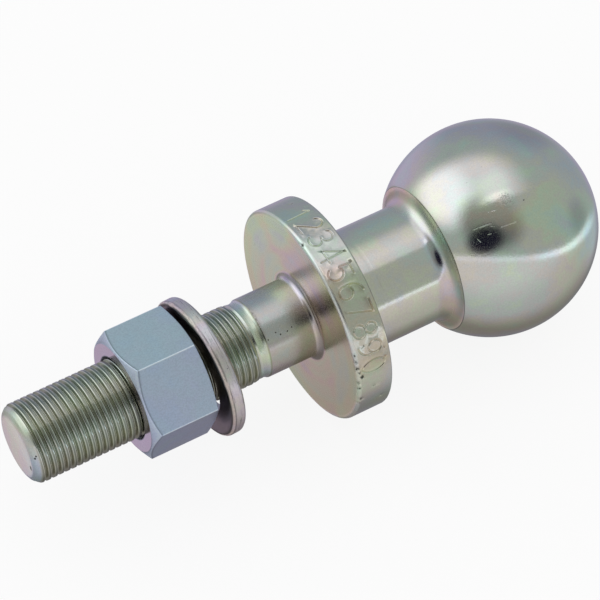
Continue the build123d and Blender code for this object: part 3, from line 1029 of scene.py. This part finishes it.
    # the end face greener and a little brighter towards the top: film colour, with painted light
    p = 1 - smooth(x * 0.8 - y * 0.6, -0.5, 4.5)
    full = np.array([0.94, 1.02, 0.99])[None] * p[:, None] + np.array([1.0, 1.20, 1.10])[None] * (1 - p[:, None])
    tint[:] = tint * (1 - end[:, None]) + full * end[:, None]
    rough += 0.25 * end
    # rim: tan along its lower turn, pinker in one place, painted shade as a dark line at the back edge, a painted
    # highlight on the soft front edge
    rim = (r > 24.9) * smooth(s, 41.4, 41.8) * (1 - smooth(s, 49.6, 50.1))
    mix(0.9 * rim * smooth(th, -82, -72) * (1 - smooth(th, -28, -20)), (0.97, 0.90, 0.79))
    mix(0.9 * rim * np.exp(-((th + 21) / 4.0) ** 2), (1.0, 0.88, 0.88))
    mul(rim * np.exp(-((th + 69) / 6.0) ** 2) * (1 - smooth(s, 45, 48)), (0.84, 0.87, 0.87))
    # dark line at the back edge: painted shade
    mul((r > 24.9) * np.exp(-((s - 41.55) / 0.10) ** 2), (0.42, 0.42, 0.40))
    # soft front edge brightened: painted highlight
    rnd = (r > 24.4) * smooth(s, 49.5, 49.8) * (1 - smooth(s, 50.33, 50.36))
    mix(rnd, (1.15, 1.18, 1.20))
    rough += 0.10 * rim + 0.45 * rnd
    for ps, pt, pr, _ in PITS:
        c = on(ps, pt, 25.3 if ps < 49.4 else 25.1)
        w = np.exp(-(((P - np.array(c)) ** 2).sum(1)) / (pr * 0.95) ** 2)
        if ps < 45:
            mix(0.8 * w, (0.62, 0.42, 0.30))
        else:
            dirt += 1.3 * w
    return {"Tint": tint, "Mask": np.stack([np.clip(dirt, 0, 1), np.clip(rough, 0, 1), np.clip(filmy, 0, 1)], 1)}


def nut_masks(P, N):
    s, r, th = P[:, 2], np.hypot(P[:, 0], P[:, 1]), np.degrees(np.arctan2(P[:, 1], P[:, 0]))
    x, y = P[:, 0], P[:, 1]
    tint = np.ones((len(P), 3))
    rough = np.zeros(len(P))

    def mul(w, col):
        tint[:] = tint * (1 - w[:, None] * (1 - np.array(col, float)))

    outer = r > 13.2
    nth = np.degrees(np.arctan2(N[:, 1], N[:, 0]))
    flat = outer * (np.abs(N[:, 2]) < 0.35)
    top = flat * np.exp(-(np.abs(nth - 10.96) / 14) ** 4)
    mul(top, (0.97, 1.04, 0.88))
    # worn corners, brightened: wear, and a painted highlight along them
    phi = np.radians(10.96 + 60 * np.arange(6))
    h = np.sort(x[:, None] * np.cos(phi)[None] + y[:, None] * np.sin(phi)[None], 1)
    edge = flat * smooth(h[:, -2], 13.28, 13.42)
    mul(edge, (1.35, 1.35, 1.32))
    # the front chamfer's corners brightened as a painted highlight, with a dark line of painted shade where it meets
    # the sides
    sf = NUT_S1 - (r - 13.05) * 0.577
    ef = sf - s
    cham = outer * (s > 90) * (N[:, 2] > 0.7) * (N[:, 2] < 0.96)
    mul(cham, (1.25, 1.25, 1.22))
    rough += 0.35 * cham
    # dark line where the chamfer meets the sides: painted shade
    mul(flat * (s > 90) * np.exp(-((ef - 0.24) / 0.14) ** 2) , (0.52, 0.53, 0.52))
    # front face: a little pink, and smoother than the sides
    face = (N[:, 2] > 0.96) * (s > 95.4) * 1.0
    mul(face, (0.70, 0.61, 0.55))
    # the bore and its mouth darkened: painted shade inside the hole; the dirt mask adds dark grime flecks there too
    bore = smooth(10.3 - r, 0.0, 0.5)
    mul(bore, (0.50, 0.50, 0.47))
    # the rear face, towards the washer, darkened: painted shade between nut and washer
    mul((s < 79.6) * (N[:, 2] < -0.9) * 1.0, (0.25, 0.25, 0.25))
    rough += 0.5 * (1 - face)
    dirt = bore * 0.8
    return {"Tint": tint, "Mask": np.stack([np.clip(dirt, 0, 1), np.clip(rough + 0.2 * bore, 0, 1), 0 * bore], 1)}


def washer_masks(P, N):
    x, y = P[:, 0], P[:, 1]
    r = np.hypot(x + 0.853, y + 0.570)
    th = np.degrees(np.arctan2(y, x))
    nut_side = smooth(N[:, 2], 0.80, 0.92)
    tint = np.ones((len(P), 3))

    def mul(w, col):
        tint[:] = tint * (1 - w[:, None] * (1 - np.array(col, float)))

    # the face towards the nut darkened nearly to black: painted shade in the gap between washer and nut
    tint *= 1 - nut_side[:, None] * (1 - np.array((0.155, 0.165, 0.155)))
    # edge towards the nut, brightened and a little pinkish all round: wear, and a painted highlight
    away = N[:, 0] * np.cos(np.radians(th)) + N[:, 1] * np.sin(np.radians(th))
    edge = (r > WR - 1.3) * (N[:, 2] > 0.2) * smooth(N[:, 2], 0.22, 0.40) * (1 - smooth(N[:, 2], 0.88, 0.97))
    mul(edge, (1.28, 1.20, 1.14))
    # dark line between that edge and the rim: painted shade
    mul((r > WR - 0.5) * np.exp(-((N[:, 2] - 0.24) / 0.10) ** 2) , (0.36, 0.34, 0.33))
    # rim: pinkish grey all round
    rim = smooth(away, 0.90, 0.98) * (r > WR - 0.4) * (N[:, 2] < 0.2)
    mul(rim, (1.14, 1.12, 1.10))
    dirt = 0.25 * (r > WR - 0.9) * np.exp(-((away - 0.80) / 0.08) ** 2)
    rough = 0.5 * edge
    return {"Tint": tint, "Mask": np.stack([np.clip(dirt, 0, 1), np.clip(rough, 0, 1), 0 * r], 1)}


# ------------------------------------------------------------------ camera, floor, light
scene = bpy.context.scene
scene.view_settings.view_transform = "Standard"
scene.view_settings.look = "None"
RIGHT = Vector((0.85949415, -0.51114559, 0.0))
CUP = Vector((0.40524736, 0.68142569, 0.60945353))
FWD = Vector((0.31151948, 0.52382174, -0.79282179))
cam_data = bpy.data.cameras.new("camera")
cam_data.sensor_width = 36.0
cam_data.lens = 210.0
cam_data.clip_start, cam_data.clip_end = 0.05, 50.0
cam = bpy.data.objects.new("camera", cam_data)
scene.collection.objects.link(cam)
back = -FWD
cam.matrix_world = Matrix(((RIGHT.x, CUP.x, back.x, -0.29290194), (RIGHT.y, CUP.y, back.y, -0.40811769),
                           (RIGHT.z, CUP.z, back.z, 0.62402423), (0, 0, 0, 1)))
scene.camera = cam


def make_floor():
    n = 48
    a = np.linspace(0, 2 * math.pi, n, endpoint=False)
    rings = [0.0, 0.1, 0.25, 0.6, 1.5, 4.0]
    verts, faces = [(0, 0, -0.02503)], []
    for r in rings[1:]:
        verts += [(-0.045 + r * math.cos(t), r * math.sin(t), -0.02503) for t in a]
    for j in range(n):
        faces.append((0, 1 + j, 1 + (j + 1) % n))
    for k in range(len(rings) - 2):
        o0, o1 = 1 + k * n, 1 + (k + 1) * n
        for j in range(n):
            faces.append((o0 + j, o1 + j, o1 + (j + 1) % n, o0 + (j + 1) % n))
    me = bpy.data.meshes.new("floor")
    me.from_pydata(verts, [], faces)
    me.validate()
    ob = bpy.data.objects.new("floor", me)
    scene.collection.objects.link(ob)
    m, g = new_material("floor_paper")
    out = g.new("ShaderNodeOutputMaterial")
    d = g.new("ShaderNodeBsdfDiffuse")
    d.inputs["Color"].default_value = (0.95, 0.95, 0.95, 1)
    e = g.new("ShaderNodeEmission")
    e.inputs["Color"].default_value = (1, 1, 1, 1)
    e.inputs["Strength"].default_value = 0.98
    seen = g.new("ShaderNodeMixShader")
    seen.inputs[0].default_value = 0.88
    g.link(d.outputs[0], seen.inputs[1])
    g.link(e.outputs[0], seen.inputs[2])
    g.link(seen.outputs[0], out.inputs[0])
    ob.visible_glossy = False
    me.materials.append(m)
    return ob


make_floor()


def make_world():
    """A pale tent. For reflections it has the soft shapes of a studio: a bright side, a shaded back and a dark opening."""
    w = bpy.data.worlds.new("studio")
    scene.world = w
    w.use_nodes = True
    w.cycles.sampling_method = "NONE"
    g = Graph(w.node_tree)
    out = g.new("ShaderNodeOutputWorld")
    geo = g.new("ShaderNodeTexCoord")
    D = g.vec("NORMALIZE", geo.outputs["Generated"])
    # half-way direction between this one and the tent's opening: its two coordinates a (right) and b (up)
    Hh = g.vec("NORMALIZE", g.vec("ADD", D, tuple(OPENING)))
    a = g.vec("DOT_PRODUCT", Hh, tuple(SIDE))
    b = g.vec("DOT_PRODUCT", Hh, tuple(TOP))

    def blob(a0, b0, ra, rb, deg=0.0, k0=0.6, k1=1.2):
        c, s_ = math.cos(math.radians(deg)), math.sin(math.radians(deg))
        da, db = a - a0, b - b0
        u = (da * c + db * s_) * (1 / ra)
        v = (db * c - da * s_) * (1 / rb)
        return (u * u + v * v).sqrt().step(k1, k0)

    # right side
    col = g.mix(a.step(0.3, 0.9), srgb(148, 158, 144), srgb(142, 156, 149))
    # a straight edge ends the bright left side low down
    edge = b - a * 0.325 - 0.221
    above = edge.step(-0.014, 0.014).max(a.step(-0.02, -0.22))
    col = g.mix(blob(-0.16, 0.36, 0.50, 0.38, -10, 0.55, 1.18) * above, col, srgb(205, 208, 199))
    col = g.mix(blob(-0.42, 0.30, 0.30, 0.35, 20, 0.35, 1.15), col, srgb(242, 250, 240))
    col = g.mix(blob(0.03, 0.40, 0.18, 0.14, 20, 0.2, 1.1) * 0.6 * above, col, srgb(224, 226, 210))
    # a darker patch before the right side ends
    col = g.mix(blob(0.81, 0.09, 0.11, 0.22, 12, 0.2, 1.2) * 0.9, col, srgb(120, 133, 131))
    # shaded back, above
    q = b + (a - 0.08) * (a - 0.08) * 0.52
    back_c = g.mix(b.step(0.72, 0.92), srgb(137, 151, 150), srgb(131, 139, 146))
    back_c = g.mix(a.step(-0.35, -0.78), back_c, srgb(166, 163, 173))
    back_c = g.mix(blob(0.32, 0.86, 0.35, 0.16, -20, 0.2, 1.2) * 0.7, back_c, srgb(120, 127, 134))
    col = g.mix(q.step(0.59, 0.77), col, back_c)
    # the opening: soft olive halo, dark middle
    halo_c = g.mix(b.step(-0.14, 0.20), srgb(92, 95, 88), srgb(134, 136, 118))
    under = edge.step(0.02, -0.02).max(a.step(0.02, -0.16))
    col = g.mix(blob(0.02, 0.045, 0.33, 0.27, -20, 0.58, 1.14) * under, col, halo_c)
    col = g.mix(blob(-0.03, -0.112, 0.20, 0.145, 22, 0.55, 1.12), col, srgb(20, 18, 30))
    col = g.mix(blob(0.075, 0.293, 0.150, 0.042, 20, 0.25, 1.1) * above, col, srgb(253, 253, 232))
    # table edge: a rounded line low down and up the right side; paler below it, darker again farther out
    u = (a - 0.05).abs() * (1 / 0.905)
    v = (b - 0.35).abs() * (1 / 0.64)
    rr = (u ** 3.0 + v ** 3.0) ** (1 / 3.0)
    below = b.step(0.42, 0.30)
    outside = rr.step(0.985, 1.015) * below
    m = (a * a + b * b).sqrt() - b * 0.12 - a * 0.05
    table = g.mix(m.step(0.50, 0.90), srgb(189, 191, 179), srgb(160, 163, 154))
    table = g.mix(m.step(0.86, 1.05), table, srgb(112, 112, 103))
    table = g.mix(blob(-0.88, -0.36, 0.20, 0.26, 0, 0.5, 1.2), table, srgb(190, 180, 178))
    table = g.mix(a.step(0.75, 0.95) * b.step(-0.5, -0.1), table, srgb(158, 168, 170))
    col = g.mix(outside, col, table)
    line = (rr - 0.985).abs().step(0.050, 0.012) * a.step(-0.42, -0.24) * b.step(0.18, -0.02)
    line_c = g.mix(a.step(0.32, 0.60), srgb(212, 218, 214), srgb(238, 255, 255))
    line_c = g.mix(a.step(0.74, 0.88), line_c, srgb(205, 226, 230))
    col = g.mix(line * 0.92, col, line_c)
    # straight behind the object everything runs together
    far = (a * a + b * b).sqrt().step(0.955, 0.995)
    rim_c = g.mix(b.step(-0.5, 0.5), srgb(112, 113, 108), srgb(148, 148, 155))
    col = g.mix(far, col, rim_c)
    # the tones above are as the plate shows them; the plate itself takes out some blue
    col = g.mix(1.0, col, tuple(1.0 / c for c in PLATE), "MULTIPLY")
    bg1 = g.new("ShaderNodeBackground")
    g.link(col, bg1.inputs[0])
    bg1.inputs[1].default_value = 1.0
    bg2 = g.new("ShaderNodeBackground")
    bg2.inputs[0].default_value = (1, 1, 1, 1)
    bg2.inputs[1].default_value = 1.0
    lp = g.new("ShaderNodeLightPath")
    mx = g.new("ShaderNodeMixShader")
    g.link(lp.outputs["Is Glossy Ray"], mx.inputs[0])
    g.link(bg2.outputs[0], mx.inputs[1])
    g.link(bg1.outputs[0], mx.inputs[2])
    g.link(mx.outputs[0], out.inputs[0])


make_world()


# ------------------------------------------------------------------ pieces
mat_body = plated("zinc_passivate_body", PLATE, 0.055, 0.13, 0.010, 0.0022, 0.6, "body")
mat_nut = plated("zinc_plate_nut", (0.74, 0.80, 0.94), 0.018, 0.14, 0.006, 0.0040, 0.25, "nut")
mat_washer = plated("zinc_plate_washer", (0.74, 0.70, 0.66), 0.045, 0.30, 0.010, 0.0040, 1.0, "washer")

body_ob = make_object("tow_ball_body", make_body(), "tow_ball", "tow_ball", mat_body, body_masks)
nut_ob = make_object("nut", make_nut(), "hex_nut", "hex_nut", mat_nut, nut_masks)
washer_ob = make_object("washer", make_washer(), "spring_washer", "spring_washer", mat_washer, washer_masks)
